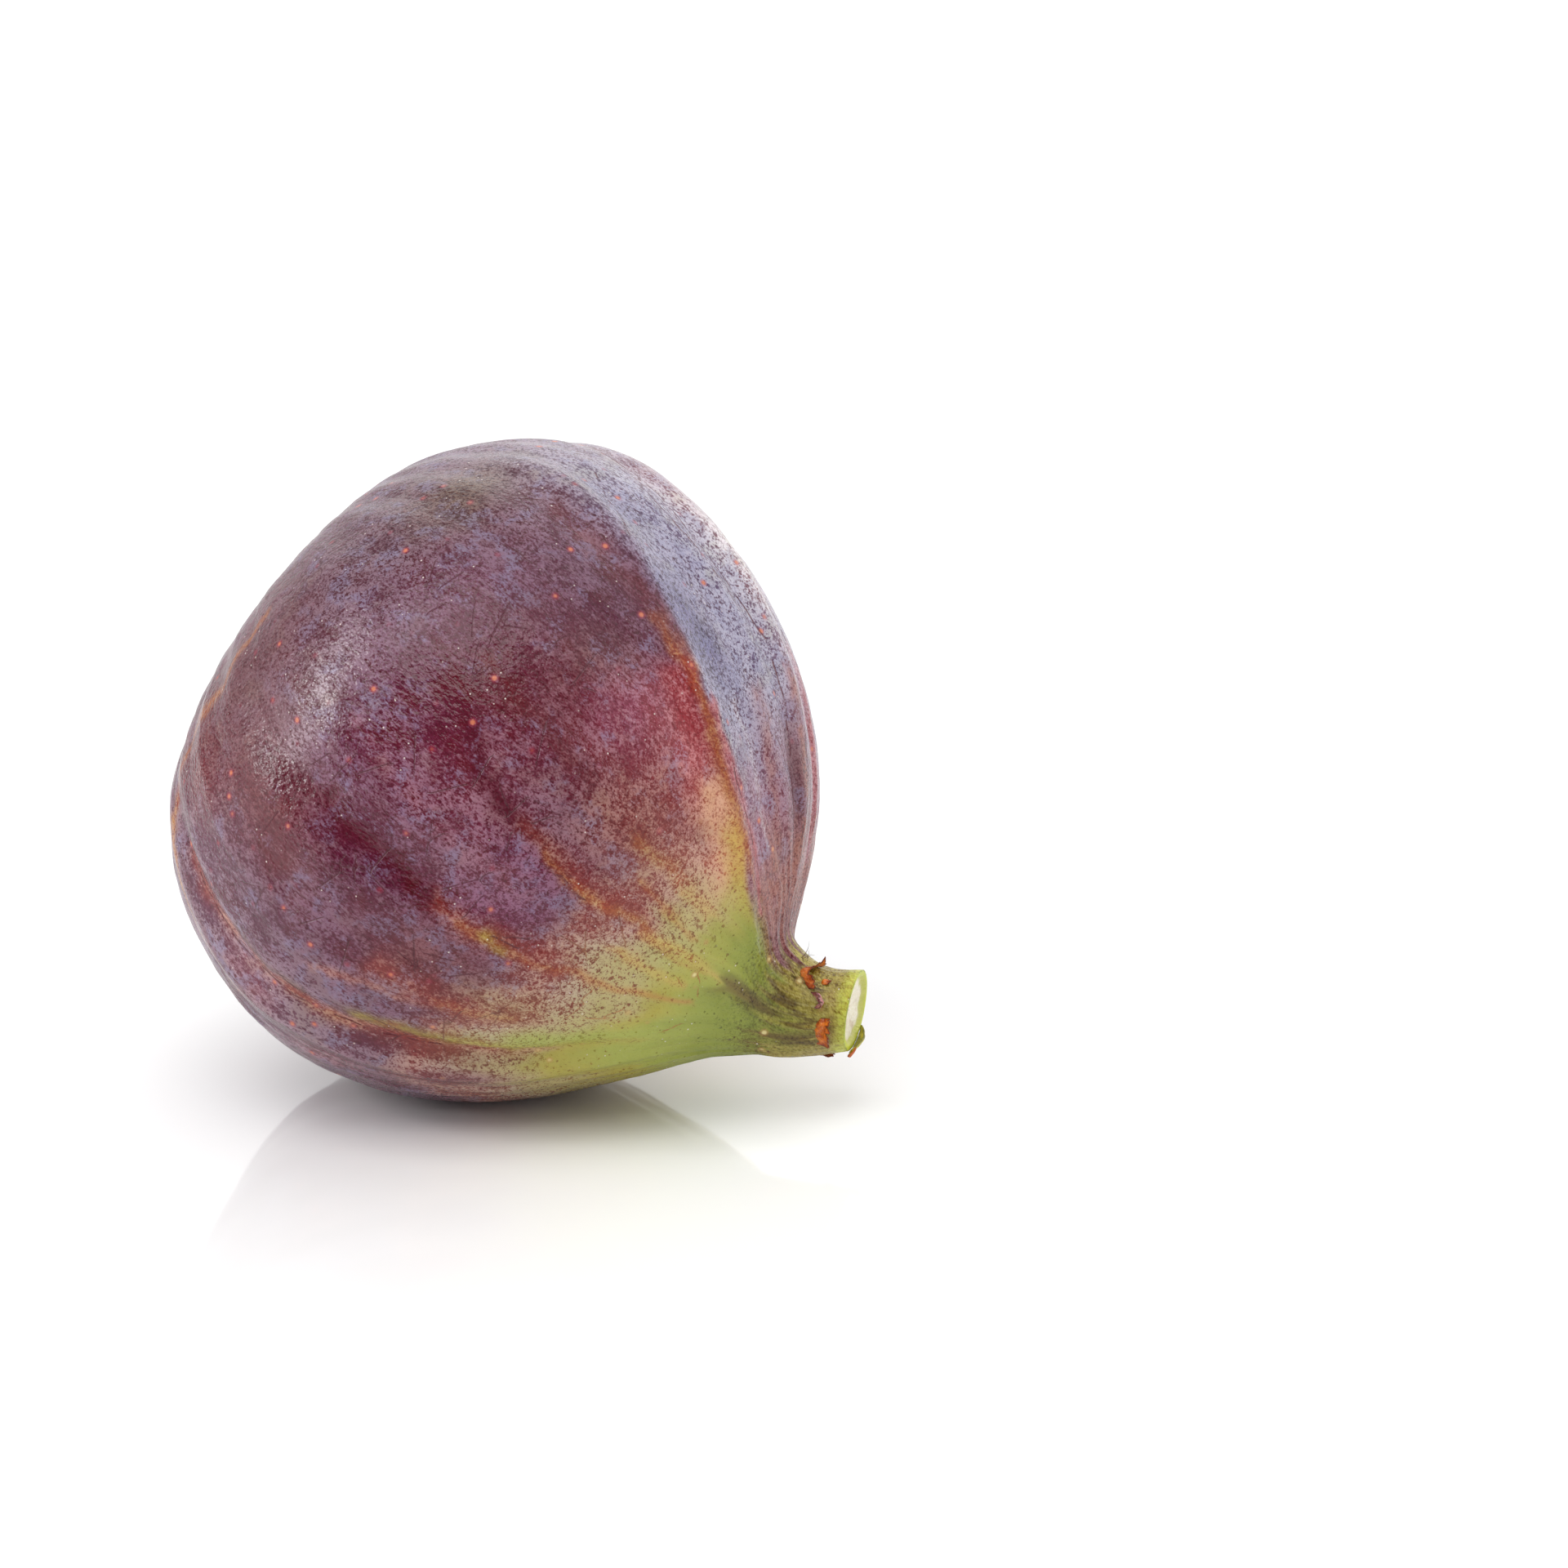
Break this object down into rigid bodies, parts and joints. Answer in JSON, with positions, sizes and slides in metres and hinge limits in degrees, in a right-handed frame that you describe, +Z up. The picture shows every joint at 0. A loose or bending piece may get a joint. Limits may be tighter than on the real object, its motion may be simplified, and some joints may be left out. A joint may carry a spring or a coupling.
{
  "type": "fresh fig",
  "caption": "Whole ripe fig lying on its side: a plump ridged bulb with a scaly eye, a bent neck and a short cut stem, resting on a small flat spot.",
  "frame": {"origin": "on the floor under the middle of the fruit's bounding box", "axes": "+X along the fruit toward the stem, +Z up as it lies, +Y away from the cheek that the picture shows"},
  "size_m": [0.057, 0.054, 0.0529],
  "materials": {
    "fig_skin": "wine-purple skin under a grey-blue bloom, yellow-green at the neck, satin"
  },
  "bodies": {
    "root": {"fig": "fig_skin"}
  },
  "joints": []
}
